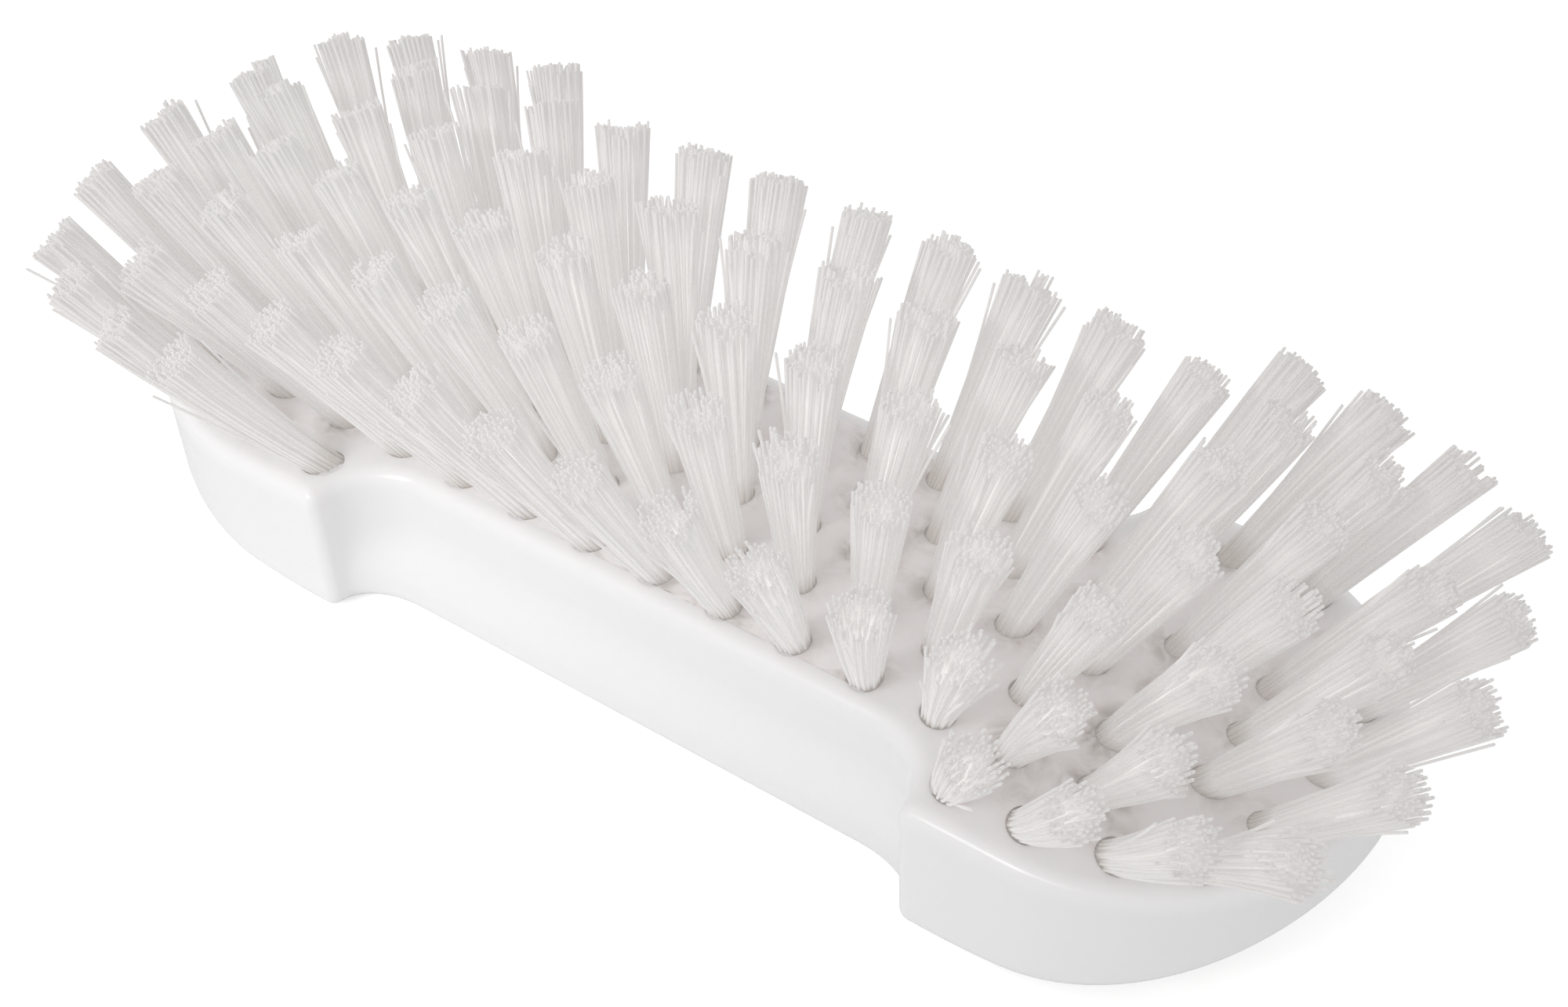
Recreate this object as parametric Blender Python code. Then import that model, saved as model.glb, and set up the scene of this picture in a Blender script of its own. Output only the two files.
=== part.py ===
"""Scrub brush: a one-piece moulded block, held lying on its back, with tufts of stiff filament set in drilled
holes that fan outward. X runs along the block, Y across it, Z up out of the bristle face. The origin is on the
surface the back rests on, under the middle of the block.

Every tuft is drawn as its folded root in its hole and four thick strands that stand for its filaments. The tufts
of one row across the block are carried by a thin slice of the block's face, so that a row is one solid."""
import bpy
import bmesh
from math import atan2, cos, pi, sin, sqrt
from mathutils import Matrix, Vector

mm = 0.001

# Block
block_length = 192.0 * mm
block_width = 67.0 * mm
block_thickness = 23.0 * mm
face_edge_radius = 2.4 * mm
back_edge_radius = 3.0 * mm
back_flat_length = 103.0 * mm        # part of the back that lies flat, before it sweeps up to the ends
back_rise_at_ends = 15.1 * mm        # how far it has swept up at the tips of the block
lobe_steps = 10                      # facets in a quarter turn of an end
edge_steps = 3                       # facets across a rounded edge

# Finger recess in each long side
recess_length = 95.2 * mm            # between the shoulders
recess_depth_at_face = 10.4 * mm     # into the side of the block, at the bristle face
recess_depth_at_back = 6.7 * mm      # the same at the back
recess_corner_length = 10.0 * mm     # how far the hollow corner runs along the waist
shoulder_radius = 1.2 * mm           # outer corner of a shoulder
shoulder_flat = 0.4 * mm             # flat wall between that corner and the hollow corner
shoulder_slant = 0.15 * mm           # how far that flat wall slants along the block
least_corner_radius = 0.2 * mm       # that corner's radius where an edge is drawn in
flare_start_depth = 9.0 * mm         # below the face, where the waist starts to widen
flare_end_depth = 17.0 * mm
flare_steps = 4
corner_steps = 5                     # facets in the hollow corner
shoulder_steps = 2

# Tufts
waist_columns = 4                    # spacings from the middle of the block to the last column of the waist
waist_end_margin = 3.6 * mm          # from that last column to the end of the recess
waist_side_margin = 5.1 * mm         # from the outer holes of the waist to its sides
lobe_side_margin = 6.5 * mm          # from the outermost holes to the long sides of the block
hole_diameter = 4.7 * mm
hole_depth = 12.0 * mm               # along the hole's own axis
hole_sides = 8
fit_clearance = 0.3 * mm             # round every root and every slice of backing
tuft_length_in_middle = 31.0 * mm    # free length, from the face to the tips
tuft_length_at_ends = 26.7 * mm
tuft_tip_diameter = 8.3 * mm         # the tuft flares to this
fan_depth_along = 119.0 * mm         # below the face, where the tufts' axes meet when seen from a long side
fan_depth_in_middle = 37.6 * mm      # the same seen from an end, for the tufts across the middle
fan_depth_at_ends = 57.0 * mm        # and for those at the tips of the block
root_stand_out = 1.2 * mm            # how far the solid root of a tuft stands out of its hole
strands_in_tuft = 4
strand_sides = 3
strand_root_radius = 0.75 * mm
strand_tip_radius = 1.35 * mm
strand_root_cover = 1.0 * mm         # length of strand buried in the root
strand_edge_gap = 0.1 * mm           # from a strand's root to the rim of the solid root
backing_width = 1.6 * mm             # slice of backing that carries the tufts of one row
backing_depth = 1.4 * mm
backing_inset = 1.0 * mm             # from a tuft's middle to the end of its slice
cut_overrun = 3.0 * mm               # past the face, for every cut

# Lobe columns, from the middle row outward: the way from the tip of the block back to the recess, and the way out
# from the middle row to the outermost holes
lobe_column_shares = (
    ((0.84, 0.0), (0.92, 0.33), (0.85, 0.67), (0.92, 1.0)),
    ((0.61, 0.0), (0.66, 0.33), (0.61, 0.67), (0.70, 1.0)),
    ((0.38, 0.0), (0.39, 0.33), (0.47, 0.93)),
    ((0.165, 0.0), (0.20, 0.42), (0.30, 0.77)),
)

half_length = block_length / 2
half_width = block_width / 2
half_recess = recess_length / 2
lobe_centre = half_length - half_width
face_height = block_thickness
root_radius = hole_diameter / 2 - fit_clearance


def make_collection(name):
    """A new collection in the scene."""
    collection = bpy.data.collections.new(name)
    bpy.context.scene.collection.children.link(collection)
    return collection


def make_material(name, colour, roughness):
    """A plain plastic material."""
    material = bpy.data.materials.new(name)
    material.use_nodes = True
    shader = material.node_tree.nodes["Principled BSDF"]
    shader.inputs["Base Color"].default_value = (*colour, 1.0)
    shader.inputs["Roughness"].default_value = roughness
    shader.inputs["Metallic"].default_value = 0.0
    return material


def make_object(name, mesh_data, collection, material=None):
    """An object in one collection, with its material."""
    obj = bpy.data.objects.new(name, mesh_data)
    collection.objects.link(obj)
    if material is not None:
        mesh_data.materials.append(material)
    return obj


def make_tool(name, build, collection):
    """A hidden object whose mesh the given function fills, for a Boolean modifier to use."""
    bm = bmesh.new()
    build(bm)
    mesh = bpy.data.meshes.new(name)
    bm.to_mesh(mesh)
    bm.free()
    tool = make_object(name, mesh, collection)
    tool.hide_render = True
    tool.display_type = "WIRE"
    return tool


def add_boolean(obj, tool, operation):
    """An exact Boolean modifier on an object."""
    modifier = obj.modifiers.new(tool.name, "BOOLEAN")
    modifier.operation = operation
    modifier.solver = "EXACT"
    modifier.object = tool


def add_rod(bm, start, end, start_radius, end_radius, sides, outward):
    """A straight tapered rod between two points, with one corner of its section turned outward."""
    axis = (end - start).normalized()
    up = (outward - axis * outward.dot(axis)).normalized()
    side = up.cross(axis)
    turn = Matrix((side, up, axis)).transposed().to_4x4()
    bmesh.ops.create_cone(
        bm,
        cap_ends=True,
        segments=sides,
        radius1=start_radius,
        radius2=end_radius,
        depth=(end - start).length,
        matrix=Matrix.Translation((start + end) / 2) @ turn,
    )


# Block shape

def waist_half_width(depth):
    """Half the width of the waist at a depth below the face: it eases from the narrow face to the wider back."""
    share = min(max((depth - flare_start_depth) / (flare_end_depth - flare_start_depth), 0.0), 1.0)
    ease = share * share * (3 - 2 * share)
    return half_width - recess_depth_at_face - ease * (recess_depth_at_back - recess_depth_at_face)


def quarter_outline(depth, inset):
    """Points from the tip of one end, round the end and the shoulder and into the recess, all drawn in by the
    inset: a quarter circle, a small outer corner and a hollow quarter ellipse."""
    points = []
    radius = half_width - inset
    for step in range(lobe_steps + 1):
        angle = pi / 2 * step / lobe_steps
        points.append((lobe_centre + radius * cos(angle), radius * sin(angle)))
    shoulder = half_recess + inset
    corner = max(shoulder_radius - inset, least_corner_radius)
    for step in range(shoulder_steps + 1):
        angle = pi / 2 * (1 + step / shoulder_steps)
        points.append((shoulder + corner * (1 + cos(angle)), half_width - inset - corner * (1 - sin(angle))))
    along = recess_corner_length + inset
    top = half_width - inset - corner - shoulder_flat
    across = top - waist_half_width(depth) + inset
    for step in range(corner_steps + 1):
        angle = pi / 2 * step / corner_steps
        points.append((shoulder - shoulder_slant - along * (1 - cos(angle)), top - across * sin(angle)))
    return points


def side_outline(depth, inset):
    """One long side of the outline, from the +X tip to the -X tip."""
    quarter = quarter_outline(depth, inset)
    return quarter + [(-x, y) for x, y in reversed(quarter)]


def back_height(x):
    """Height of the back above the surface it rests on: flat in the middle, then an arc up to each end."""
    run = half_length - back_flat_length / 2
    radius = (run ** 2 + back_rise_at_ends ** 2) / (2 * back_rise_at_ends)
    past = max(abs(x) - back_flat_length / 2, 0.0)
    return radius - sqrt(radius ** 2 - past ** 2)


def section_height(x, depth):
    """Height of a point of a section: the rounded face edge keeps its size, and the rest follows the back."""
    if depth <= face_edge_radius:
        return block_thickness - depth
    room = block_thickness - back_height(x) - face_edge_radius
    share = (depth - face_edge_radius) / (block_thickness - face_edge_radius)
    return block_thickness - face_edge_radius - share * room


def block_sections():
    """Depth below the face and inset of each section, from the face down to the back."""
    sections = []
    for step in range(edge_steps + 1):
        angle = pi / 2 * step / edge_steps
        sections.append((face_edge_radius * (1 - cos(angle)), face_edge_radius * (1 - sin(angle))))
    for step in range(flare_steps + 1):
        depth = flare_start_depth + (flare_end_depth - flare_start_depth) * step / flare_steps
        sections.append((depth, 0.0))
    for step in range(edge_steps + 1):
        angle = pi / 2 * step / edge_steps
        depth = block_thickness - back_edge_radius * (1 - sin(angle))
        sections.append((depth, back_edge_radius * (1 - cos(angle))))
    return sections


def build_block_body(bm):
    """Loft through the sections. Each section is two long sides that mirror each other, and the face and the back
    are closed by strips across from one side to the other."""
    rings = []
    for depth, inset in block_sections():
        side = side_outline(depth, inset)
        tip_start, tip_end = side[0], side[-1]
        outline = [tip_start] + side[1:-1] + [tip_end] + [(x, -y) for x, y in reversed(side[1:-1])]
        rings.append([bm.verts.new((x, y, section_height(x, depth))) for x, y in outline])
    count = len(rings[0])
    for upper, lower in zip(rings, rings[1:]):
        for i in range(count):
            j = (i + 1) % count
            bm.faces.new((upper[i], lower[i], lower[j], upper[j]))
    half = count // 2
    for ring, is_face in ((rings[0], True), (rings[-1], False)):
        for i in range(half):
            loop = [ring[i], ring[i + 1], ring[-(i + 1)], ring[-i]]
            corners = list(dict.fromkeys(loop))
            bm.faces.new(corners if is_face else corners[::-1])
    bmesh.ops.recalc_face_normals(bm, faces=bm.faces)


# Tuft places

def tuft_columns():
    """Columns of tufts across the block, each a list of places from -Y to +Y, sorted along X."""
    columns = []
    waist_reach = half_recess - waist_end_margin
    waist_side = half_width - recess_depth_at_face - waist_side_margin
    half_steps = 2 * waist_columns
    for step in range(-half_steps, half_steps + 1):
        rows = (-1, 0, 1) if step % 2 == 0 else (-1 / 2, 1 / 2)
        columns.append([(step / half_steps * waist_reach, row * waist_side) for row in rows])
    lobe_reach = half_length - half_recess
    lobe_side = half_width - lobe_side_margin
    for shares in lobe_column_shares:
        half = [(half_length - back * lobe_reach, out * lobe_side) for back, out in shares]
        column = [(x, -y) for x, y in reversed(half[1:])] + half
        columns.append(column)
        columns.append([(-x, y) for x, y in column])
    return sorted(columns, key=lambda column: column[0][0])


def eased_along(x, in_middle, at_ends):
    """A size that changes from the middle to the ends of the block as the square of the way along it."""
    return in_middle + (at_ends - in_middle) * (x / half_length) ** 2


def tuft_frame(place):
    """Point on the face, axis and outward direction of the tuft at a place."""
    x, y = place
    foot = Vector((x, y, face_height))
    lean_x = x / fan_depth_along
    lean_y = y / eased_along(x, fan_depth_in_middle, fan_depth_at_ends)
    axis = Vector((lean_x, lean_y, 1.0)).normalized()
    heading = atan2(lean_y, lean_x)
    return foot, axis, Vector((cos(heading), sin(heading), 0.0))


def add_root(bm, place, clearance, stand_out):
    """The root of a tuft, or the hole for it where there is a clearance."""
    foot, axis, outward = tuft_frame(place)
    radius = root_radius + clearance
    start = foot - axis * (hole_depth + clearance)
    add_rod(bm, start, foot + axis * stand_out, radius, radius, hole_sides, outward)


def add_strands(bm, place):
    """The strands of a tuft, on a small circle at the root and a wider one at the tips."""
    foot, axis, outward = tuft_frame(place)
    first = (outward - axis * outward.dot(axis)).normalized()
    second = axis.cross(first)
    root_circle = root_radius * cos(pi / hole_sides) - strand_root_radius - strand_edge_gap
    tip_circle = tuft_tip_diameter / 2 - strand_tip_radius
    length = eased_along(place[0], tuft_length_in_middle, tuft_length_at_ends)
    for strand in range(strands_in_tuft):
        angle = 2 * pi * strand / strands_in_tuft
        radial = first * cos(angle) + second * sin(angle)
        start = foot + axis * (root_stand_out - strand_root_cover) + radial * root_circle
        end = foot + axis * length + radial * tip_circle
        add_rod(bm, start, end, strand_root_radius, strand_tip_radius, strand_sides, radial)


def add_slices(bm, column, clearance, top):
    """Bars of backing between the tufts of a column, or the slots for them where there is a clearance."""
    bottom = face_height - backing_depth - clearance
    for (x1, y1), (x2, y2) in zip(column, column[1:]):
        span = sqrt((x2 - x1) ** 2 + (y2 - y1) ** 2) - 2 * (backing_inset - clearance)
        size = Vector((span, backing_width + 2 * clearance, top - bottom))
        turn = Matrix.Rotation(atan2(y2 - y1, x2 - x1), 4, "Z")
        middle = Matrix.Translation(((x1 + x2) / 2, (y1 + y2) / 2, (top + bottom) / 2))
        bmesh.ops.create_cube(bm, size=1.0, matrix=middle @ turn @ Matrix.Diagonal(size).to_4x4())


# Pieces

def make_block(columns, parts, cutters):
    """The moulded block, with a drilled hole for each tuft and a slot for each slice of backing."""
    bm = bmesh.new()
    build_block_body(bm)
    mesh = bpy.data.meshes.new("block")
    bm.to_mesh(mesh)
    bm.free()
    block = make_object("block", mesh, parts, make_material("moulded_plastic", (0.87, 0.87, 0.88), 0.32))

    def build_holes(bm):
        for column in columns:
            for place in column:
                add_root(bm, place, fit_clearance, cut_overrun)

    def build_slots(bm):
        for column in columns:
            add_slices(bm, column, fit_clearance, face_height + cut_overrun)

    add_boolean(block, make_tool("hole_cutter", build_holes, cutters), "DIFFERENCE")
    add_boolean(block, make_tool("slot_cutter", build_slots, cutters), "DIFFERENCE")
    return block


def make_tuft_row(number, column, parts, cutters):
    """One column of tufts with the slice of backing that carries it."""
    name = f"tuft_row_{number:02d}"
    bm = bmesh.new()
    for place in column:
        add_root(bm, place, 0.0, root_stand_out)
    mesh = bpy.data.meshes.new(name)
    bm.to_mesh(mesh)
    bm.free()
    row = make_object(name, mesh, parts, make_material(f"filament_{number:02d}", (0.83, 0.82, 0.80), 0.45))

    def build_slices(bm):
        add_slices(bm, column, 0.0, face_height)

    def build_strands(bm):
        for place in column:
            add_strands(bm, place)

    add_boolean(row, make_tool(f"{name}_slices", build_slices, cutters), "UNION")
    add_boolean(row, make_tool(f"{name}_strands", build_strands, cutters), "UNION")
    return row


def main():
    """Clear the scene and build every piece."""
    for obj in list(bpy.data.objects):
        bpy.data.objects.remove(obj, do_unlink=True)
    parts = make_collection("scrub_brush")
    cutters = make_collection("cutters")
    columns = tuft_columns()
    make_block(columns, parts, cutters)
    for number, column in enumerate(columns, start=1):
        make_tuft_row(number, column, parts, cutters)
    tufts = sum(len(column) for column in columns)
    print(tufts, "tufts,", tufts * strands_in_tuft, "strands")


main()
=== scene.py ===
import bmesh
import bpy
import numpy as np
from mathutils import Euler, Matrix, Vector
from mathutils.geometry import delaunay_2d_cdt


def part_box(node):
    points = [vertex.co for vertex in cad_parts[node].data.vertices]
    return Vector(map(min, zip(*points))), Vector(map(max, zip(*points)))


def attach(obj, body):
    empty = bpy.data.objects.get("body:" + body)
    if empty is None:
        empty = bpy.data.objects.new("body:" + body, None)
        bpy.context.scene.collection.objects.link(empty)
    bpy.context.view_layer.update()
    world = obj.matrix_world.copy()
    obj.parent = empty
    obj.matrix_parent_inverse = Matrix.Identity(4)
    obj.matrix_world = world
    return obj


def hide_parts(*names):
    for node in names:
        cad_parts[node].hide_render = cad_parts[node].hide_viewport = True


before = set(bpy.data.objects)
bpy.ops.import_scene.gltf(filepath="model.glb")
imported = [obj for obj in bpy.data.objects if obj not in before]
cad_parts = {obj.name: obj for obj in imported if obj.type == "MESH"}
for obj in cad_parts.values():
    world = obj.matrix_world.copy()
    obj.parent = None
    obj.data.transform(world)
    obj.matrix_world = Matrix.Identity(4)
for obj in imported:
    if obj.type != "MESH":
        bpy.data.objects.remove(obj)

mm = 0.001
degree = np.pi / 180
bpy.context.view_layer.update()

# Block, the size of its solid
_, block_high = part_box("block")
half_length = block_high.x
half_width = block_high.y
block_thickness = block_high.z
face_edge_radius = 2.4 * mm
back_edge_radius = 3.0 * mm
back_flat_length = 103.0 * mm        # part of the back that lies flat, before it sweeps up to the ends
back_rise_at_ends = 15.1 * mm        # how far it has swept up at the tips of the block
edge_hold = 0.5 * mm                 # flat border just inside each rounded edge
lobe_centre = half_length - half_width

# Finger recess in each long side
half_recess = 47.6 * mm              # from the middle of the block to a shoulder
recess_depth_at_face = 10.4 * mm
recess_depth_at_back = 6.7 * mm
recess_corner_length = 10.0 * mm     # how far the hollow corner runs along the waist
shoulder_radius = 1.9 * mm
shoulder_slant = 0.15 * mm
least_shoulder_radius = 0.5 * mm     # where the outline is drawn in at an edge
flare_start_depth = 9.0 * mm         # below the face, where the waist starts to widen
flare_end_depth = 17.0 * mm

# Steps of the block's surface
lobe_steps = 40                      # in a quarter turn of an end
straight_steps = 5                   # from the end of that turn to the shoulder
shoulder_steps = 7
corner_steps = 18                    # in the hollow corner
edge_steps = 8                       # across a rounded edge
wall_steps = 14                      # down the wall
weld_distance = 0.002 * mm

# Holes and tufts
waist_columns = 4                    # spacings from the middle of the block to the waist's last column
waist_end_margin = 3.6 * mm
waist_side_margin = 5.1 * mm
lobe_side_margin = 6.5 * mm
hole_radius = 2.35 * mm
hole_rim_radius = 0.22 * mm          # rounding of the rim
hole_rim_steps = 3
hole_depth = 12.0 * mm
hole_sides = 28
fan_depth_along = 119.0 * mm         # below the face, where the tufts' axes meet, seen from a long side
fan_depth_in_middle = 37.6 * mm      # the same seen from an end, for the tufts across the middle
fan_depth_at_ends = 57.0 * mm        # and for those at the tips of the block
tuft_length_in_middle = 31.0 * mm    # free length, from the face to the tips
tuft_length_at_ends = 26.7 * mm
tuft_tip_radius = 3.95 * mm

# Tuft columns of an end, from the middle of the brush outward: the way from the tip of the block back to the
# recess, and the way out from the middle row to the outermost holes
lobe_column_shares = (
    ((0.84, 0.0), (0.92, 0.33), (0.85, 0.67), (0.92, 1.0)),
    ((0.61, 0.0), (0.66, 0.33), (0.61, 0.67), (0.70, 1.0)),
    ((0.38, 0.0), (0.39, 0.33), (0.47, 0.93)),
    ((0.165, 0.0), (0.20, 0.42), (0.30, 0.77)),
)

# Points of the face between the holes
rim_ring_ways = np.array([0.0, 0.35, 0.85, 1.5]) * mm    # out from each rim to the rings of points round it
ring_from_rim = 0.2 * mm             # how far a ring's points stay from every rim
ring_from_border = 0.4 * mm
grid_step = 1.5 * mm                 # of the grid that fills the rest
grid_shift = 0.3                     # as a share of that step: how uneven the grid is
grid_from_rim = 1.9 * mm
grid_from_border = 0.7 * mm
grid_seed = 11

# Drill marks, painted warm bounce light and painted hole shade of the face, held by its points
mark_seed = 5
mark_power = 1.4                     # over 1, so that more holes are marked faintly than strongly
mark_reach = 2.0 * mm                # past the hole, where a mark has faded to about a third
mark_border = 2 * mm                 # border of the face that stays clear of marks
mark_border_fade = 5 * mm            # over which they come in
on_face_depth = 0.05 * mm            # marks lie where the surface is less than this below the face
bounce_light_depth = 1.2 * mm           # down the rounded edge, where the painted warm bounce light on the face ends
bounce_light_border = 0.5 * mm
bounce_light_border_fade = 4 * mm
hole_wall_reach = 0.12 * mm          # out from a hole's wall: nearer points count as in the hole
hole_shade_depth = 0.6 * mm          # below the face, where the full painted shade inside a hole is reached

# Filaments
filaments_in_tuft = 100              # tips: half as many filaments, each folded in two in its hole
filament_radius = 0.21 * mm
filament_sides = 6
station_shares = np.array([0.06, 0.28, 0.52, 0.76])             # of the length, where the middle rings lie
ring_radius_shares = np.array([1, 1, 1, 1, 1, 1, 1.04, 0.72])   # from the fold to the cut end
last_hidden_depth = 0.6 * mm         # below the face, where the last ring inside the hole lies
cut_edge = 0.10 * mm                 # rounding at the cut end
cut_dome = 0.03 * mm
root_packing_radius = 2.29 * mm      # of the whole bundle where it leaves its hole
root_depth = 11.2 * mm               # down to the fold
root_unevenness = 0.05 * mm
golden_angle = np.pi * (3 - np.sqrt(5))
spread_unevenness = 0.04             # as a share of how far a filament moves outward
tip_unevenness = 0.10 * mm
clumps_in_tuft = 11                  # filaments that stick together, and end at about one height
clump_length_spread = 0.45 * mm
clump_bow = 0.22 * mm
length_spread = 0.17 * mm
mean_shortfall = 0.35 * mm           # of the filaments, under the free length of their tuft
most_overshoot = 0.9 * mm
ordinary_bow = 0.07 * mm
tuft_bend = 0.35 * mm                # of a whole tuft, at its tips, either way
outer_tuft_bend = 2.0 * mm           # of the tufts along the sides of the ends, inward
outer_tuft_margin = 3 * mm           # outside the waist, over which that bend comes in
stray_share = 0.035
stray_bow = 1.9 * mm
least_stray_bow = 0.5                # as a share of it
most_stray_shortfall = 3.0 * mm
first_row_seed = 100

# Patterns in the materials: spots to the metre, detail, and how far the spots are twisted
cloud_pattern = 130.0, 3.0, 0.6
grain_pattern = 900.0, 2.0
swirl_pattern = 260.0, 3.0, 1.2
warm_pattern = 70.0, 2.0
ripple_pattern = 900.0, 2.0
paper_pattern = 300.0, 2.0

# Reliefs in the materials: strength and height
grain_relief = 0.06, 0.1 * mm
scuff_relief = 0.5, 0.4 * mm
ripple_relief = 0.05, 0.1 * mm

# Plastic of the block
plastic_colours = (0.905, 0.900, 0.906), (0.922, 0.917, 0.923)
# painted warm light bounced from the tufts onto the face, brighter than the plastic to lift their shade
face_bounce_light_colours = (0.995, 0.958, 0.955), (0.955, 0.914, 0.907)
scuff_colour = (0.53, 0.49, 0.465)
# painted shade inside the drilled holes, deepest below the rim
hole_shade_colour = (0.80, 0.76, 0.72)
swirl_range = 0.38, 0.62             # of the pattern, from no scuff to a full one
plastic_roughness = 0.18, 0.26
scuff_roughness = 0.3                # on top of it
plastic_scatter = 0.25, (1.0, 0.9, 0.85), 2 * mm         # weight, colour and depth

# Plastic of the filaments
# painted shade, darker and warmer, where the tufts' roots crowd at the holes
filament_root_shade_colour = (0.575, 0.536, 0.50)
filament_colour = (0.702, 0.692, 0.682)
# painted shade near the tips, against the stronger light that falls there
filament_tip_shade_colour = (0.662, 0.651, 0.642)
filament_cool_colour = (0.63, 0.63, 0.64)
filament_warm_colour = (0.70, 0.667, 0.67)
# painted shade on the cut ends, against the light they catch
filament_cut_shade_colour = (0.54, 0.525, 0.51)
root_shade_end = 0.14               # share of the way up where the painted shade at the root ends
tip_shade_start = 0.55              # share of the way up where the painted shade of the tip starts to come in
most_cool = 0.15                     # greatest share of the cool colour
most_warm = 0.35
warm_range = 0.45, 0.7               # of the pattern, from no warm colour to the most
cut_shade_share = 0.25              # share of the painted shade at the very end
cut_shade_length = 0.45             # in millimetres, which is how a mesh holds the way to the tip
filament_roughness = 0.50, 0.65
filament_gloss = 0.15
filament_scatter = 0.5, (1.0, 0.96, 0.93), 0.4 * mm      # weight, colour and depth
glow_colour = (1.0, 0.985, 0.975, 1.0)
filament_glow = 0.175                # stands for light that the clear filaments carry down inside them
filament_glow_inside = 0.35          # the same in the middle of a tuft
root_glow_share = 0.85               # what is left of the glow at the roots
root_glow_end = 0.16                 # share of the way up where it is whole again
tip_glow_share = 0.2                 # at the tips, what is left of being inside a tuft
tip_glow_range = 0.1, 5.0            # in millimetres below the tip, over which that comes back
leaning_glow_share = 0.84            # what is left of the glow on the tufts that lean most
upright_range = 0.70, 0.95           # rise of a tuft's axis, from leaning most to as good as upright

# Studio
white = (1.0, 1.0, 1.0, 1.0)
room_light_at_sides = 0.83           # a colour renders about as it is written
room_light_overhead = 0.62
room_light_lean = 0.02               # less light from +X than from -X, either way from the middle
floor_lift = 0.42                    # how much brighter the camera sees the floor than it is lit
floor_reach = 3.0
floor_drop = 0.2 * mm                # so that it lies just clear of the back
paper_colours = (0.93, 0.93, 0.93), (0.95, 0.95, 0.95)
paper_roughness = 0.9
paper_gloss = 0.1
key_place = (-0.14, -0.46, 0.36)
key_target = (-0.045, -0.02, 0.01)
key_radius = 0.10
key_cone = 26 * degree
key_strength = 4.1
strip_place = (0.00, -0.47, 0.39)
strip_target = (0.06, -0.03, 0.02)
strip_length = 0.22
strip_width = 0.05
strip_strength = 0.2

# The photograph's own view, found from the places of the holes, the outline and the tips
camera_place = (0.147257, -0.185306, 0.250208)
camera_turn = (45.725 * degree, 1.330 * degree, 35.003 * degree)
camera_lens = 55.387                 # in millimetres, like the sensor
camera_sensor = 36.0
camera_shift_x = -0.01264
camera_shift_y = 0.0026
camera_nearest = 0.01
camera_farthest = 20.0


# Meshes from whole arrays

def grid_faces(rows, columns):
    """Quads between neighbouring rows and columns of a grid of points, the last column joined to the first.
    A row that lies below the one before it, with columns that run anticlockwise, gives faces that point
    outward."""
    above = np.arange(rows - 1)[:, None] * columns
    here = np.arange(columns)[None, :]
    after = (here + 1) % columns
    quads = np.stack([above + here, above + columns + here, above + columns + after, above + after], axis=-1)
    return quads.reshape(-1, 4)


def repeated(faces, copies, points_each):
    """The same faces for every copy of a shape whose points follow one another."""
    return (faces[None] + np.arange(copies)[:, None, None] * points_each).reshape(-1, faces.shape[1])


def make_mesh(name, points, face_groups):
    """A smooth mesh from an array of points and arrays of faces, each with its own number of corners."""
    mesh = bpy.data.meshes.new(name)
    corners = np.concatenate([group.ravel() for group in face_groups]).astype(np.int32)
    sizes = np.concatenate([np.full(len(group), group.shape[1]) for group in face_groups])
    starts = np.concatenate([[0], np.cumsum(sizes)[:-1]]).astype(np.int32)
    mesh.vertices.add(len(points))
    mesh.vertices.foreach_set("co", np.asarray(points, dtype=np.float32).ravel())
    mesh.loops.add(len(corners))
    mesh.loops.foreach_set("vertex_index", corners)
    mesh.polygons.add(len(sizes))
    mesh.polygons.foreach_set("loop_start", starts)
    mesh.update(calc_edges=True)
    mesh.validate()
    mesh.shade_smooth()
    return mesh


def add_values(mesh, name, values):
    """One number for each point of a mesh, for its material to read."""
    layer = mesh.attributes.new(name, "FLOAT", "POINT")
    layer.data.foreach_set("value", np.asarray(values, dtype=np.float32))


def make_piece(name, mesh, material, nodes):
    """A finished piece: its mesh, its material, and the CAD nodes that it stands for."""
    mesh.materials.append(material)
    piece = bpy.data.objects.new(name, mesh)
    bpy.context.scene.collection.objects.link(piece)
    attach(piece, "root")
    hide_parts(*nodes)


# Block shape

def waist_half_width(depth):
    """Half the width of the waist at a depth below the face: three times the square of the way down the
    flare, less twice its cube, eases it from the narrow face to the wider back."""
    share = np.clip((depth - flare_start_depth) / (flare_end_depth - flare_start_depth), 0.0, 1.0)
    ease = share * share * (3 - 2 * share)
    return half_width - recess_depth_at_face - ease * (recess_depth_at_back - recess_depth_at_face)


def quarter_outline(depth, inset):
    """From the tip of one end round to the waist, all drawn in by the inset: a quarter circle, a straight
    side, a quarter circle for the shoulder and a hollow quarter ellipse. Depth and inset are columns, one row
    a section."""
    lobe = np.linspace(0, np.pi / 2, lobe_steps + 1)[None, :]
    radius = half_width - inset
    shoulder = half_recess + inset
    corner = np.maximum(shoulder_radius - inset, least_shoulder_radius)
    way = np.linspace(0, 1, straight_steps + 1)[None, 1:-1]
    turn = np.linspace(np.pi / 2, np.pi, shoulder_steps + 1)[None, :]
    hollow = np.linspace(0, np.pi / 2, corner_steps + 1)[None, 1:]
    along = recess_corner_length + inset
    top = half_width - inset - corner
    across = top - waist_half_width(depth) + inset
    x = np.concatenate([
        lobe_centre + radius * np.cos(lobe),
        lobe_centre + (shoulder + corner - lobe_centre) * way,
        shoulder + corner * (1 + np.cos(turn)),
        shoulder - shoulder_slant - along * (1 - np.cos(hollow)),
    ], axis=1)
    y = np.concatenate([
        radius * np.sin(lobe),
        radius + 0 * way,
        radius - corner * (1 - np.sin(turn)),
        top - across * np.sin(hollow),
    ], axis=1)
    return x, y


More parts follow.
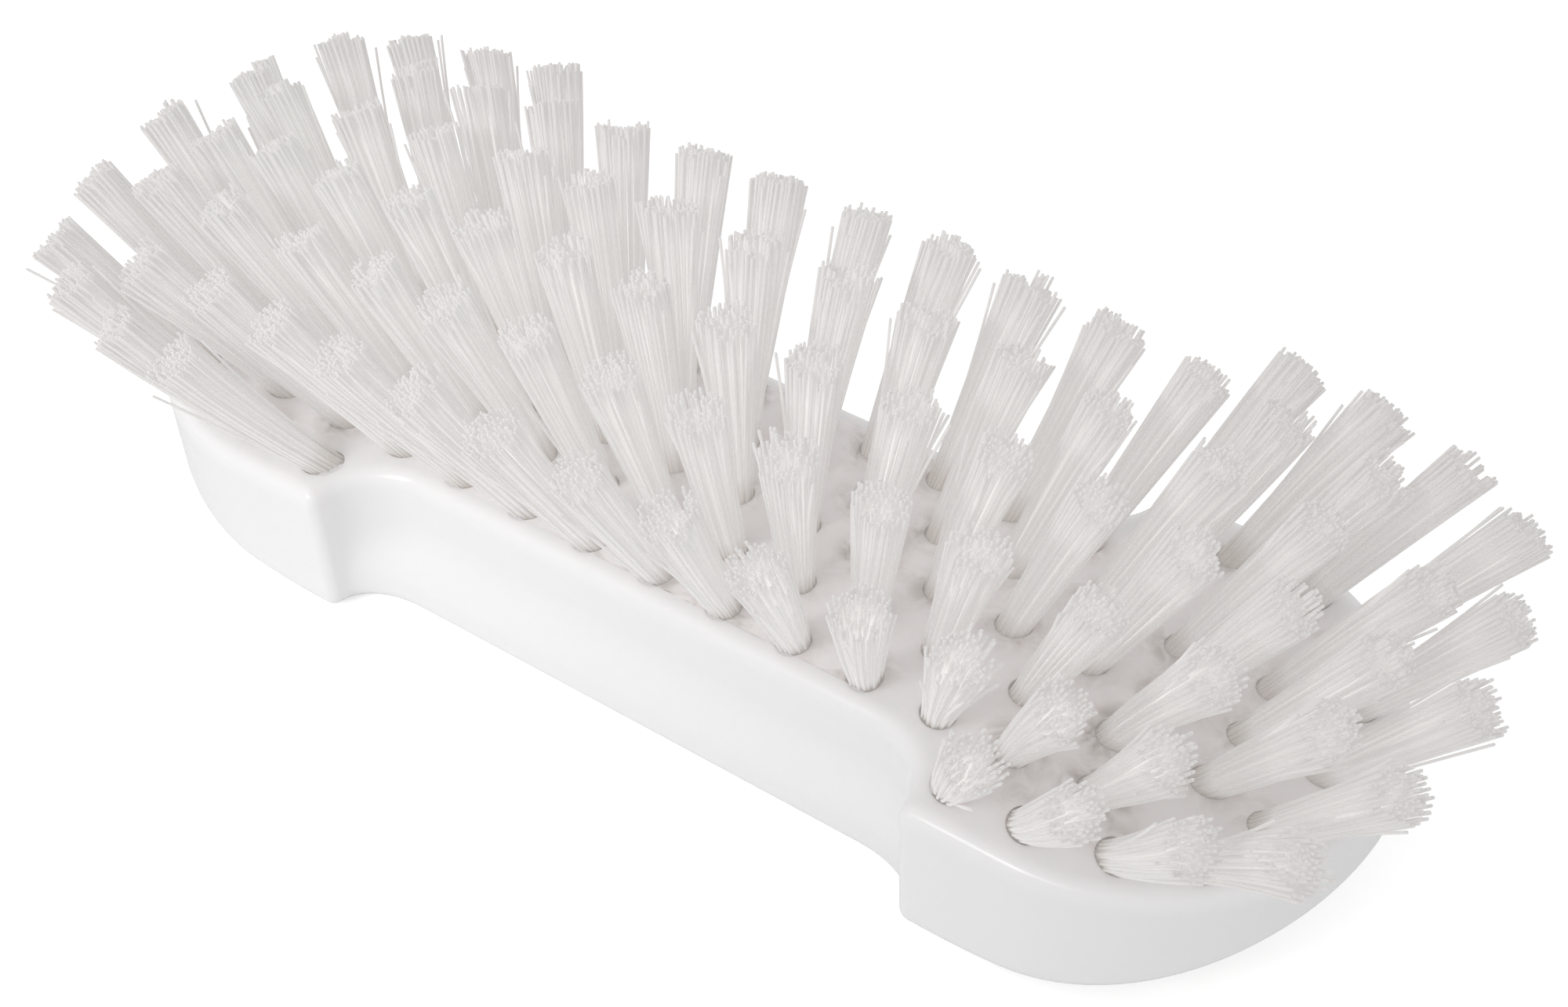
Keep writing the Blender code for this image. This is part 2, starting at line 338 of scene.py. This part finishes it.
def whole_outline(depth, inset):
    """The quarter outline mirrored end to end and side to side, anticlockwise from the +X tip."""
    x, y = quarter_outline(depth, inset)
    side_x = np.concatenate([x, -x[:, ::-1]], axis=1)
    side_y = np.concatenate([y, y[:, ::-1]], axis=1)
    other_x = side_x[:, -2:0:-1]
    other_y = -side_y[:, -2:0:-1]
    return np.concatenate([side_x, other_x], axis=1), np.concatenate([side_y, other_y], axis=1)


def back_height(x):
    """Height of the back above what it rests on: flat in the middle, then a circular arc up to each end."""
    run = half_length - back_flat_length / 2
    radius = (run ** 2 + back_rise_at_ends ** 2) / (2 * back_rise_at_ends)
    past = np.maximum(np.abs(x) - back_flat_length / 2, 0.0)
    return radius - np.sqrt(radius ** 2 - past ** 2)


def section_height(x, depth):
    """Height of a section: the rounded face edge keeps its size, and below it the rest shares out the height
    that the back leaves."""
    room = block_thickness - back_height(x) - face_edge_radius
    share = (depth - face_edge_radius) / (block_thickness - face_edge_radius)
    return np.where(depth <= face_edge_radius, block_thickness - depth,
                    block_thickness - face_edge_radius - share * room)


def block_sections():
    """Depth and inset of every section from the face down to the back: a flat border, a quarter circle, the
    wall, a quarter circle and a flat border."""
    turn = np.linspace(0, np.pi / 2, edge_steps + 1)
    wall = np.linspace(face_edge_radius, block_thickness - back_edge_radius, wall_steps + 1)[1:-1]
    face = np.stack([face_edge_radius * (1 - np.cos(turn)), face_edge_radius * (1 - np.sin(turn))], axis=1)
    back = np.stack([block_thickness - back_edge_radius * (1 - np.sin(turn)),
                     back_edge_radius * (1 - np.cos(turn))], axis=1)
    return np.concatenate([
        [[0.0, face_edge_radius + edge_hold]],
        face,
        np.stack([wall, 0 * wall], axis=1),
        back,
        [[block_thickness, back_edge_radius + edge_hold]],
    ])


# Tuft places

def tuft_columns():
    """Columns of tufts across the block, each an array of places from -Y to +Y, in order along X. The waist
    has rows of three and of two in turn, and each end has columns that follow its curve."""
    columns = []
    waist_reach = half_recess - waist_end_margin
    waist_side = half_width - recess_depth_at_face - waist_side_margin
    half_steps = 2 * waist_columns
    for step in range(-half_steps, half_steps + 1):
        rows = np.array([-1.0, 0.0, 1.0] if step % 2 == 0 else [-0.5, 0.5])
        columns.append(np.stack([0 * rows + step / half_steps * waist_reach, rows * waist_side], axis=1))
    for shares in lobe_column_shares:
        back, out = np.array(shares).T
        along = half_length - back * (half_length - half_recess)
        half = np.stack([along, out * (half_width - lobe_side_margin)], axis=1)
        column = np.concatenate([(half * [1, -1])[:0:-1], half])
        columns.append(column)
        columns.append(column * [-1, 1])
    return sorted(columns, key=lambda column: column[0, 0])


def eased_along(x, in_middle, at_ends):
    """A size that changes from the middle to the ends of the block as the square of the way along it."""
    return in_middle + (at_ends - in_middle) * (x / half_length) ** 2


def tuft_axes(places):
    """Unit axes of the tufts: each leans outward by its place over the depth at which the axes meet."""
    x, y = places.T
    fan_depth_across = eased_along(x, fan_depth_in_middle, fan_depth_at_ends)
    lean = np.stack([x / fan_depth_along, y / fan_depth_across, np.ones(len(x))], axis=1)
    return lean / np.linalg.norm(lean, axis=1, keepdims=True)


def lean_headings(axes):
    """Level unit vectors the way the tufts lean, and the level unit vectors square to them. The tiny step
    along X gives the upright tuft in the middle a heading too."""
    flat = axes[:, :2] + [1e-9, 0]
    heading = flat / np.linalg.norm(flat, axis=1, keepdims=True)
    return heading, heading[:, ::-1] * [-1, 1]


def rim_ellipses(places, axes, radius, sides):
    """Level section of each slanted hole: a circle stretched the way the hole leans, by one over the rise of
    its axis."""
    heading, square = lean_headings(axes)
    angle = np.linspace(0, 2 * np.pi, sides, endpoint=False)[None, :, None]
    long_way = (radius / axes[:, 2])[:, None, None] * np.cos(angle) * heading[:, None]
    return places[:, None] + long_way + radius * np.sin(angle) * square[:, None]


def shares_out(points, places, axes):
    """How far each point lies from each hole's axis on the face, measured across the hole."""
    heading, square = lean_headings(axes)
    away = points[:, None] - places[None]
    along = (away * heading).sum(axis=2) * axes[:, 2]
    across = (away * square).sum(axis=2)
    return np.hypot(along, across)


def inside_outline(points, outline):
    """True for the points inside a closed outline: a ray from them crosses it an odd number of times."""
    start, end = outline, np.roll(outline, -1, axis=0)
    x, y = points[:, 0:1], points[:, 1:2]
    spans = (start[:, 1] > y) != (end[:, 1] > y)
    rise = np.where(start[:, 1] == end[:, 1], 1.0, end[:, 1] - start[:, 1])
    crossing = start[:, 0] + (y - start[:, 1]) / rise * (end[:, 0] - start[:, 0])
    return (spans & (x < crossing)).sum(axis=1) % 2 == 1


# Pieces

def clear_points(points, places, axes, border, from_rim, from_border):
    """The points inside the border of the face that lie so far from it and from every rim."""
    clear = shares_out(points, places, axes).min(axis=1) > hole_radius + hole_rim_radius + from_rim
    room = np.abs(points[:, None] - border[None]).max(axis=2).min(axis=1) > from_border
    return points[clear & room & inside_outline(points, border)]


def drilled_face(border, places, axes):
    """Points and triangles of the flat face between its border and the rims of the holes. The rims have
    three rings of points round them, and a slightly uneven grid fills the rest."""
    rim = hole_radius + hole_rim_radius
    rings = [rim_ellipses(places, axes, rim + out, hole_sides) for out in rim_ring_ways]
    rng = np.random.default_rng(grid_seed)
    grid_x = np.arange(-half_length, half_length, grid_step)
    grid_y = np.arange(-half_width, half_width, grid_step)
    grid = np.stack(np.meshgrid(grid_x, grid_y), axis=-1).reshape(-1, 2)
    grid = grid + rng.uniform(-grid_shift, grid_shift, grid.shape) * grid_step
    grid = clear_points(grid, places, axes, border, grid_from_rim, grid_from_border)
    outer = np.concatenate([ring.reshape(-1, 2) for ring in rings[1:]])
    outer = clear_points(outer, places, axes, border, ring_from_rim, ring_from_border)
    points = np.concatenate([border, rings[0].reshape(-1, 2), outer, grid]) / mm
    count = len(border)
    border_edges = np.stack([np.arange(count), (np.arange(count) + 1) % count], axis=1)
    side = np.arange(hole_sides)
    rim_edges = np.stack([side, (side + 1) % hole_sides], axis=1)
    rim_edges = count + repeated(rim_edges, len(places), hole_sides)
    edges = np.concatenate([border_edges, rim_edges])
    made = delaunay_2d_cdt(points.tolist(), edges.tolist(), [], 0, 1e-6)
    flat = np.array([tuple(point) for point in made[0]]) * mm
    triangles = np.array(made[2])
    middle = flat[triangles].mean(axis=1)
    solid = shares_out(middle, places, axes).min(axis=1) > rim * np.cos(np.pi / hole_sides)
    triangles = triangles[solid & inside_outline(middle, border)]
    return flat, triangles


def hole_walls(places, axes):
    """Points and faces of the drilled holes: level ellipses that slide along each axis, on a quarter circle
    round the rim, then straight down, and a closed bottom."""
    turn = np.linspace(0, np.pi / 2, hole_rim_steps + 1)
    radii = np.concatenate([hole_radius + hole_rim_radius * (1 - np.sin(turn)), [hole_radius] * 2])
    depths = np.concatenate([hole_rim_radius * (1 - np.cos(turn)), [hole_depth / 3, hole_depth]])
    levels = []
    for radius, depth in zip(radii, depths):
        centres = places - depth * axes[:, :2]
        ellipse = rim_ellipses(centres, axes, radius, hole_sides)
        height = (block_thickness - depth * axes[:, 2])[:, None, None] + 0 * ellipse[..., :1]
        levels.append(np.concatenate([ellipse, height], axis=2))
    points = np.stack(levels, axis=1).reshape(-1, 3)
    rows = len(radii)
    wall = grid_faces(rows, hole_sides)[:, ::-1]
    bottom = (rows - 1) * hole_sides + np.arange(hole_sides)[None, :]
    count = len(places)
    return points, repeated(wall, count, rows * hole_sides), repeated(bottom, count, rows * hole_sides)


def add_face_values(mesh, places, axes, border):
    """What the block's material reads: drill marks, each as strong as chance makes it, which fade on a bell
    curve past their hole; the share of painted warm bounce light on the face among the tufts; and the painted
    shade inside the holes. The way in from the border is measured to every third of its points."""
    points = np.empty(len(mesh.vertices) * 3)
    mesh.vertices.foreach_get("co", points)
    points = points.reshape(-1, 3)
    down = block_thickness - points[:, 2]
    from_border = np.linalg.norm(points[:, None, :2] - border[None, ::3], axis=2).min(axis=1)
    past_hole = np.maximum(shares_out(points[:, :2], places, axes) - hole_radius, 0.0)
    strength = np.random.default_rng(mark_seed).uniform(0.0, 1.0, len(places)) ** mark_power
    marks = (strength * np.exp(-(past_hole / mark_reach) ** 2)).max(axis=1)
    markable = np.clip((from_border - mark_border) / mark_border_fade, 0.0, 1.0)
    add_values(mesh, "drill_mark", marks * (down < on_face_depth) * markable)
    # painted warm bounce light: on the face, away from its border and off the rounded edge
    on_top = np.clip(1 - down / bounce_light_depth, 0.0, 1.0)
    among_holes = np.clip((from_border - bounce_light_border) / bounce_light_border_fade, 0.0, 1.0)
    add_values(mesh, "bounce_light_share", on_top * among_holes)
    # painted shade down the walls of the holes
    down_hole = down * (past_hole.min(axis=1) < hole_wall_reach)
    add_values(mesh, "hole_shade", np.clip(down_hole / hole_shade_depth, 0.0, 1.0))


def make_block(columns, material):
    """The moulded block: a wall of sections from the face down to the back, strips across the back, the
    drilled face and the walls of the holes, joined where their points meet."""
    places = np.concatenate(columns)
    axes = tuft_axes(places)
    sections = block_sections()
    depth, inset = sections[:, :1], sections[:, 1:]
    x, y = whole_outline(depth, inset)
    wall = np.stack([x, y, section_height(x, depth)], axis=-1)
    rows, count = x.shape
    half = count // 2
    near, far = np.arange(half), (count - np.arange(half)) % count
    last = (rows - 1) * count
    strips = last + np.stack([near, far, far - 1, near + 1], axis=1)[1:-1]
    ends = np.array([[last, last + count - 1, last + 1], [last + half, last + half - 1, last + half + 1]])
    border = wall[0, :, :2]
    flat, triangles = drilled_face(border, places, axes)
    face = np.concatenate([flat, np.full((len(flat), 1), block_thickness)], axis=1)
    holes, hole_quads, bottoms = hole_walls(places, axes)
    first_face = rows * count
    first_hole = first_face + len(face)
    mesh = make_mesh("moulded_block", np.concatenate([wall.reshape(-1, 3), face, holes]), [
        grid_faces(rows, count), strips, ends,
        first_face + triangles, first_hole + hole_quads, first_hole + bottoms,
    ])
    bm = bmesh.new()
    bm.from_mesh(mesh)
    bmesh.ops.remove_doubles(bm, verts=bm.verts, dist=weld_distance)
    bm.to_mesh(mesh)
    bm.free()
    add_face_values(mesh, places, axes, border)
    make_piece("moulded_block", mesh, material, ["block"])


def vectors_across(axes):
    """Two unit vectors square to each tuft's axis and to each other, the first as near as it can be to the
    way that the tuft leans."""
    heading, _ = lean_headings(axes)
    first = np.concatenate([heading, np.zeros((len(axes), 1))], axis=1)
    first = first - axes * (first * axes).sum(axis=1, keepdims=True)
    first = first / np.linalg.norm(first, axis=1, keepdims=True)
    return first, np.cross(axes, first)


def filament_stations(lengths):
    """Way along each filament at its rings, from the fold in the hole to the cut tip."""
    hidden = np.broadcast_to([-root_depth, -last_hidden_depth], (*lengths.shape, 2))
    end = lengths[..., None]
    return np.concatenate([hidden, end * station_shares, end - cut_edge, end], axis=-1)


def at_filament_points(ring_values, tip_value):
    """A number for every point of every filament: the number of its ring, and one more for the tip."""
    values = np.repeat(ring_values, filament_sides, axis=-1)
    tips = np.full_like(values[..., :1], tip_value)
    return np.concatenate([values, tips], axis=-1).ravel()


def make_tuft_row(number, column, material):
    """One row of tufts. Every filament is a ring of points carried along its own line: it stays in place in
    the hole, moves away from the tuft's axis in proportion to the way up, and bows by the square of that way.
    By the same square the whole tuft bends, a little either way, and inward along the sides of the ends. For
    the material every point holds the way up, the way to the tip in millimetres, its filament's tone, how far
    inside the tuft its filament is and how upright the tuft stands."""
    rng = np.random.default_rng(first_row_seed + number)
    tufts = len(column)
    shape = (tufts, filaments_in_tuft)
    axes = tuft_axes(column)
    first, second = vectors_across(axes)
    foot = np.concatenate([column, np.full((tufts, 1), block_thickness)], axis=1)

    order = np.arange(filaments_in_tuft)[None, :]
    reach = (root_packing_radius - filament_radius) * np.sqrt((order + 0.5) / filaments_in_tuft)
    spin = order * golden_angle + rng.uniform(0, 2 * np.pi, (tufts, 1))
    root = np.stack([reach * np.cos(spin), reach * np.sin(spin)], axis=-1)
    root = root + rng.normal(0, root_unevenness, root.shape)
    spread = (tuft_tip_radius - filament_radius) / (root_packing_radius - filament_radius) - 1
    away = root * spread * rng.normal(1.0, spread_unevenness, (*shape, 1))
    away = away + rng.normal(0, tip_unevenness, root.shape)

    outer = np.broadcast_to(reach / reach.max(), shape)
    stray = rng.uniform(0, 1, shape) < stray_share * 2 * outer
    clump_middle = rng.uniform(-root_packing_radius, root_packing_radius, (tufts, 1, clumps_in_tuft, 2))
    clump = np.linalg.norm(root[:, :, None] - clump_middle, axis=-1).argmin(axis=-1)
    clump_lengths = rng.normal(0, clump_length_spread, (tufts, clumps_in_tuft))
    clump_lengths = np.take_along_axis(clump_lengths, clump, axis=1)
    bow = rng.normal(0, ordinary_bow, root.shape)
    clump_bows = rng.normal(0, clump_bow, (tufts, clumps_in_tuft, 2))
    bow = bow + np.take_along_axis(clump_bows, clump[..., None], axis=1)
    outward = root / (np.linalg.norm(root, axis=-1, keepdims=True) + 1e-9)
    bow = bow + stray[..., None] * outward * rng.uniform(least_stray_bow, 1.0, (*shape, 1)) * stray_bow

    free = eased_along(column[:, 0], tuft_length_in_middle, tuft_length_at_ends)[:, None]
    lengths = free + clump_lengths + rng.normal(0, length_spread, shape) - mean_shortfall
    lengths = np.minimum(lengths, free + most_overshoot)
    lengths = lengths - stray * rng.uniform(0.0, most_stray_shortfall, shape)

    ways = filament_stations(lengths)
    share = np.clip(ways / free[..., None], 0, None)[..., None]
    aside = root[:, :, None] + away[:, :, None] * share + bow[:, :, None] * share ** 2
    angle = np.linspace(0, 2 * np.pi, filament_sides, endpoint=False)
    ring = np.stack([np.cos(angle), np.sin(angle)], axis=-1)[None, None, None]
    radii = filament_radius * ring_radius_shares
    section = aside[:, :, :, None] + ring * radii[None, None, :, None, None]
    tip = aside[:, :, -1]
    outside_waist = (np.abs(column[:, 1]) - half_width + recess_depth_at_face) / outer_tuft_margin
    bend = rng.normal(0, tuft_bend, (tufts, 3)) * [1, 1, 0]
    bend[:, 1] -= outer_tuft_bend * np.clip(outside_waist, 0.0, 1.0) * np.sign(column[:, 1])
    bend = bend[:, None, None] * share ** 2
    line = foot[:, None, None] + axes[:, None, None] * ways[..., None] + bend
    points = (line[:, :, :, None] + section[..., :1] * first[:, None, None, None]
              + section[..., 1:] * second[:, None, None, None])
    tip_points = (foot[:, None] + axes[:, None] * (lengths + cut_dome)[..., None] + bend[:, :, -1]
                  + tip[..., :1] * first[:, None] + tip[..., 1:] * second[:, None])
    rings = ways.shape[-1]
    count = tufts * filaments_in_tuft
    each = rings * filament_sides + 1
    points = points.reshape(count, rings * filament_sides, 3)
    points = np.concatenate([points, tip_points.reshape(-1, 1, 3)], axis=1)

    side = np.arange(filament_sides)
    top = (rings - 1) * filament_sides
    walls = grid_faces(rings, filament_sides)[:, ::-1]
    caps = np.stack([top + side, top + (side + 1) % filament_sides, np.full_like(side, each - 1)], axis=1)
    fold = side[None, ::-1]
    name = f"tuft_filaments_{number:02d}"
    mesh = make_mesh(name, points.reshape(-1, 3), [
        repeated(walls, count, each), repeated(caps, count, each), repeated(fold, count, each),
    ])
    add_values(mesh, "way_up", at_filament_points(ways / free[..., None], 1.0))
    add_values(mesh, "to_tip", at_filament_points((lengths[..., None] - ways) / mm, 0.0))
    add_values(mesh, "filament_tone", np.repeat(rng.uniform(0, 1, count), each))
    add_values(mesh, "inside_tuft", np.repeat((1 - outer ** 2).ravel(), each))
    add_values(mesh, "upright", np.repeat(axes[:, 2], filaments_in_tuft * each))
    make_piece(name, mesh, material, [f"tuft_row_{number:02d}"])


# Materials

def new_material(name):
    """A material with its node tree and its shader."""
    material = bpy.data.materials.new(name)
    material.use_nodes = True
    nodes = material.node_tree.nodes
    return material, nodes, material.node_tree.links, nodes["Principled BSDF"]


def add_node(nodes, kind, **values):
    """A node of one kind, with some of its properties or inputs set by name."""
    node = nodes.new(kind)
    for name, value in values.items():
        if name in node.inputs:
            node.inputs[name].default_value = value
        else:
            setattr(node, name, value)
    return node


def set_input(links, socket, value):
    """Gives an input a number, a colour of three numbers, or a link from another socket."""
    if isinstance(value, (int, float)):
        socket.default_value = value
    elif isinstance(value, tuple):
        socket.default_value = (*value, 1.0)
    else:
        links.new(value, socket)


def add_noise(nodes, links, coordinates, scale, detail, distortion=0.0):
    """Noise on the given coordinates."""
    noise = add_node(nodes, "ShaderNodeTexNoise", Scale=scale, Detail=detail, Distortion=distortion)
    links.new(coordinates, noise.inputs["Vector"])
    return noise.outputs["Fac"]


def add_range(nodes, links, source, low, high, to_low, to_high):
    """A value moved from one range into another, and held inside it."""
    mapped = add_node(nodes, "ShaderNodeMapRange")
    links.new(source, mapped.inputs["Value"])
    for name, value in (("From Min", low), ("From Max", high), ("To Min", to_low), ("To Max", to_high)):
        mapped.inputs[name].default_value = value
    return mapped.outputs["Result"]


def add_maths(nodes, links, operation, first, second):
    """One sum on two values, each a socket or a number."""
    node = add_node(nodes, "ShaderNodeMath", operation=operation)
    set_input(links, node.inputs[0], first)
    set_input(links, node.inputs[1], second)
    return node.outputs["Value"]


def add_mix(nodes, links, share, first, second):
    """A mix of two colours, each a socket or three numbers."""
    node = add_node(nodes, "ShaderNodeMix", data_type="RGBA")
    set_input(links, node.inputs[0], share)
    set_input(links, node.inputs[6], first)
    set_input(links, node.inputs[7], second)
    return node.outputs[2]


def add_bump(nodes, links, pattern, strength, height):
    """A fine relief from a pattern."""
    bump = add_node(nodes, "ShaderNodeBump", Strength=strength, Distance=height)
    links.new(pattern, bump.inputs["Height"])
    return bump


def read_value(nodes, name):
    """The numbers that a mesh holds for its points."""
    return add_node(nodes, "ShaderNodeAttribute", attribute_name=name).outputs["Fac"]


def set_scatter(shader, weight, colour, depth):
    """Light that goes a little way into the plastic and comes out again."""
    shader.inputs["Subsurface Weight"].default_value = weight
    shader.inputs["Subsurface Radius"].default_value = colour
    shader.inputs["Subsurface Scale"].default_value = depth


def make_block_plastic():
    """White moulded plastic: a soft gloss, a fine grain, grey swirls of swarf and scuffs round the drilled
    holes, a cloudy painted warm bounce light on the face among the tufts, and painted shade inside the holes."""
    material, nodes, links, shader = new_material("white_moulded_plastic")
    place = add_node(nodes, "ShaderNodeTexCoord").outputs["Object"]
    clouds = add_noise(nodes, links, place, *cloud_pattern)
    grain = add_noise(nodes, links, place, *grain_pattern)
    swirl = add_noise(nodes, links, place, *swirl_pattern)
    tone = add_mix(nodes, links, grain, *plastic_colours)
    # painted warm bounce light among the tufts, mottled by the clouds
    face_bounce_light = add_mix(nodes, links, clouds, *face_bounce_light_colours)
    tone = add_mix(nodes, links, read_value(nodes, "bounce_light_share"), tone, face_bounce_light)
    swirl = add_range(nodes, links, swirl, *swirl_range, 0.0, 1.0)
    scuff = add_maths(nodes, links, "MULTIPLY", read_value(nodes, "drill_mark"), swirl)
    tone = add_mix(nodes, links, scuff, tone, scuff_colour)
    # painted shade down inside the holes
    tone = add_mix(nodes, links, read_value(nodes, "hole_shade"), tone, hole_shade_colour)
    links.new(tone, shader.inputs["Base Color"])
    shine = add_range(nodes, links, grain, 0.0, 1.0, *plastic_roughness)
    dulling = add_maths(nodes, links, "MULTIPLY", scuff, scuff_roughness)
    links.new(add_maths(nodes, links, "ADD", shine, dulling), shader.inputs["Roughness"])
    set_scatter(shader, *plastic_scatter)
    relief = add_bump(nodes, links, grain, *grain_relief)
    scuffs = add_bump(nodes, links, scuff, *scuff_relief)
    links.new(relief.outputs["Normal"], scuffs.inputs["Normal"])
    links.new(scuffs.outputs["Normal"], shader.inputs["Normal"])
    return material


def make_filament_plastic():
    """Clear-white extruded filament: painted shade, darker and warmer, at the roots, a little painted shade
    at the tips and more at the cut end, and a little different from one filament to the next. A faint glow
    stands
    for the light inside it: stronger in the middle of a tuft, and weaker at the roots and on the tufts that
    lean."""
    material, nodes, links, shader = new_material("translucent_filament")
    place = add_node(nodes, "ShaderNodeTexCoord").outputs["Object"]
    up = read_value(nodes, "way_up")
    to_tip = read_value(nodes, "to_tip")
    tone = read_value(nodes, "filament_tone")
    # painted shade at the roots
    above_root_shade = add_range(nodes, links, up, 0.0, root_shade_end, 0.0, 1.0)
    colour = add_mix(nodes, links, above_root_shade, filament_root_shade_colour, filament_colour)
    # painted shade near the tips
    near_tip_shade = add_range(nodes, links, up, tip_shade_start, 1.0, 0.0, 1.0)
    colour = add_mix(nodes, links, near_tip_shade, colour, filament_tip_shade_colour)
    cool = add_range(nodes, links, tone, 0.0, 1.0, 0.0, most_cool)
    colour = add_mix(nodes, links, cool, colour, filament_cool_colour)
    warm = add_noise(nodes, links, place, *warm_pattern)
    warm = add_range(nodes, links, warm, *warm_range, 0.0, most_warm)
    colour = add_mix(nodes, links, warm, colour, filament_warm_colour)
    # painted shade at the cut end
    cut_end_shade = add_range(nodes, links, to_tip, 0.0, cut_shade_length, cut_shade_share, 0.0)
    colour = add_mix(nodes, links, cut_end_shade, colour, filament_cut_shade_colour)
    links.new(colour, shader.inputs["Base Color"])
    set_scatter(shader, *filament_scatter)
    below_tip = add_range(nodes, links, to_tip, *tip_glow_range, tip_glow_share, 1.0)
    inside = add_maths(nodes, links, "MULTIPLY", read_value(nodes, "inside_tuft"), below_tip)
    glow = add_range(nodes, links, inside, 0.0, 1.0, filament_glow, filament_glow_inside)
    out_of_root = add_range(nodes, links, up, 0.0, root_glow_end, root_glow_share, 1.0)
    glow = add_maths(nodes, links, "MULTIPLY", glow, out_of_root)
    upright = read_value(nodes, "upright")
    upright = add_range(nodes, links, upright, *upright_range, leaning_glow_share, 1.0)
    glow = add_maths(nodes, links, "MULTIPLY", glow, upright)
    links.new(glow, shader.inputs["Emission Strength"])
    shader.inputs["Emission Color"].default_value = glow_colour
    material.cycles.emission_sampling = "NONE"
    links.new(add_range(nodes, links, tone, 0.0, 1.0, *filament_roughness), shader.inputs["Roughness"])
    shader.inputs["Specular IOR Level"].default_value = filament_gloss
    ripple = add_noise(nodes, links, place, *ripple_pattern)
    relief = add_bump(nodes, links, ripple, *ripple_relief)
    links.new(relief.outputs["Normal"], shader.inputs["Normal"])
    return material


# Studio

def make_floor():
    """A plain white floor that reaches past the view. The camera sees it a little brighter than it is lit, so
    that it is white and still holds the shadow."""
    mesh = bpy.data.meshes.new("floor")
    reach = floor_reach
    corners = [(-reach, -reach, 0), (reach, -reach, 0), (reach, reach, 0), (-reach, reach, 0)]
    mesh.from_pydata(corners, [], [(0, 1, 2, 3)])
    floor = bpy.data.objects.new("floor", mesh)
    floor.location.z = -floor_drop
    bpy.context.scene.collection.objects.link(floor)
    material, nodes, links, shader = new_material("white_paper")
    place = add_node(nodes, "ShaderNodeTexCoord").outputs["Object"]
    fibre = add_noise(nodes, links, place, *paper_pattern)
    links.new(add_mix(nodes, links, fibre, *paper_colours), shader.inputs["Base Color"])
    shader.inputs["Roughness"].default_value = paper_roughness
    shader.inputs["Specular IOR Level"].default_value = paper_gloss
    shader.inputs["Emission Color"].default_value = white
    path = add_node(nodes, "ShaderNodeLightPath")
    lift = add_maths(nodes, links, "MULTIPLY", path.outputs["Is Camera Ray"], floor_lift)
    links.new(lift, shader.inputs["Emission Strength"])
    mesh.materials.append(material)


def make_surroundings():
    """A white room, a little dimmer overhead than at the sides, and a little dimmer towards +X than towards
    -X. The camera and glossy reflections see it as plain white."""
    world = bpy.data.worlds.new("studio")
    world.use_nodes = True
    bpy.context.scene.world = world
    nodes, links = world.node_tree.nodes, world.node_tree.links
    path = add_node(nodes, "ShaderNodeLightPath")
    backdrop = nodes["Background"]
    backdrop.inputs["Color"].default_value = white
    seen = add_maths(nodes, links, "MAXIMUM", path.outputs["Is Camera Ray"], path.outputs["Is Glossy Ray"])
    seen = add_maths(nodes, links, "MAXIMUM", seen, path.outputs["Is Transmission Ray"])
    way = add_node(nodes, "ShaderNodeSeparateXYZ")
    links.new(add_node(nodes, "ShaderNodeTexCoord").outputs["Generated"], way.inputs["Vector"])
    level = add_range(nodes, links, way.outputs["Z"], 0.0, 1.0, room_light_at_sides, room_light_overhead)
    lean = add_maths(nodes, links, "MULTIPLY", way.outputs["X"], room_light_lean)
    level = add_maths(nodes, links, "SUBTRACT", level, lean)
    strength = add_node(nodes, "ShaderNodeMix", data_type="FLOAT")
    links.new(seen, strength.inputs[0])
    links.new(level, strength.inputs[2])
    strength.inputs[3].default_value = 1.0
    links.new(strength.outputs[0], backdrop.inputs["Strength"])


def hang_lamp(name, light, place, target, strength):
    """A lamp at a place, turned to a target."""
    light.energy = strength
    lamp = bpy.data.objects.new(name, light)
    lamp.location = place
    lamp.rotation_euler = (Vector(target) - Vector(place)).to_track_quat("-Z", "Y").to_euler()
    bpy.context.scene.collection.objects.link(lamp)


def add_key_light():
    """A soft round lamp whose cone fades out from its middle."""
    light = bpy.data.lights.new("key", "SPOT")
    light.shadow_soft_size = key_radius
    light.spot_size = key_cone
    light.spot_blend = 1.0
    hang_lamp("key", light, key_place, key_target, key_strength)


def add_edge_light():
    """A long narrow lamp, level: its reflection draws out along a rounded edge."""
    light = bpy.data.lights.new("edge light", "AREA")
    light.shape = "RECTANGLE"
    light.size = strip_length
    light.size_y = strip_width
    hang_lamp("edge light", light, strip_place, strip_target, strip_strength)


def add_camera():
    """The camera, at the photograph's view."""
    camera_data = bpy.data.cameras.new("view")
    camera_data.sensor_width = camera_sensor
    camera_data.lens = camera_lens
    camera_data.shift_x = camera_shift_x
    camera_data.shift_y = camera_shift_y
    camera_data.clip_start = camera_nearest
    camera_data.clip_end = camera_farthest
    camera = bpy.data.objects.new("view", camera_data)
    camera.location = camera_place
    camera.rotation_euler = Euler(camera_turn, "XYZ")
    bpy.context.scene.collection.objects.link(camera)
    bpy.context.scene.camera = camera


add_camera()
make_surroundings()
make_floor()
add_key_light()
add_edge_light()
bpy.context.scene.view_settings.view_transform = "Standard"

block_plastic = make_block_plastic()
filament_plastic = make_filament_plastic()
all_columns = tuft_columns()
make_block(all_columns, block_plastic)
for row, column_places in enumerate(all_columns, start=1):
    make_tuft_row(row, column_places, filament_plastic)
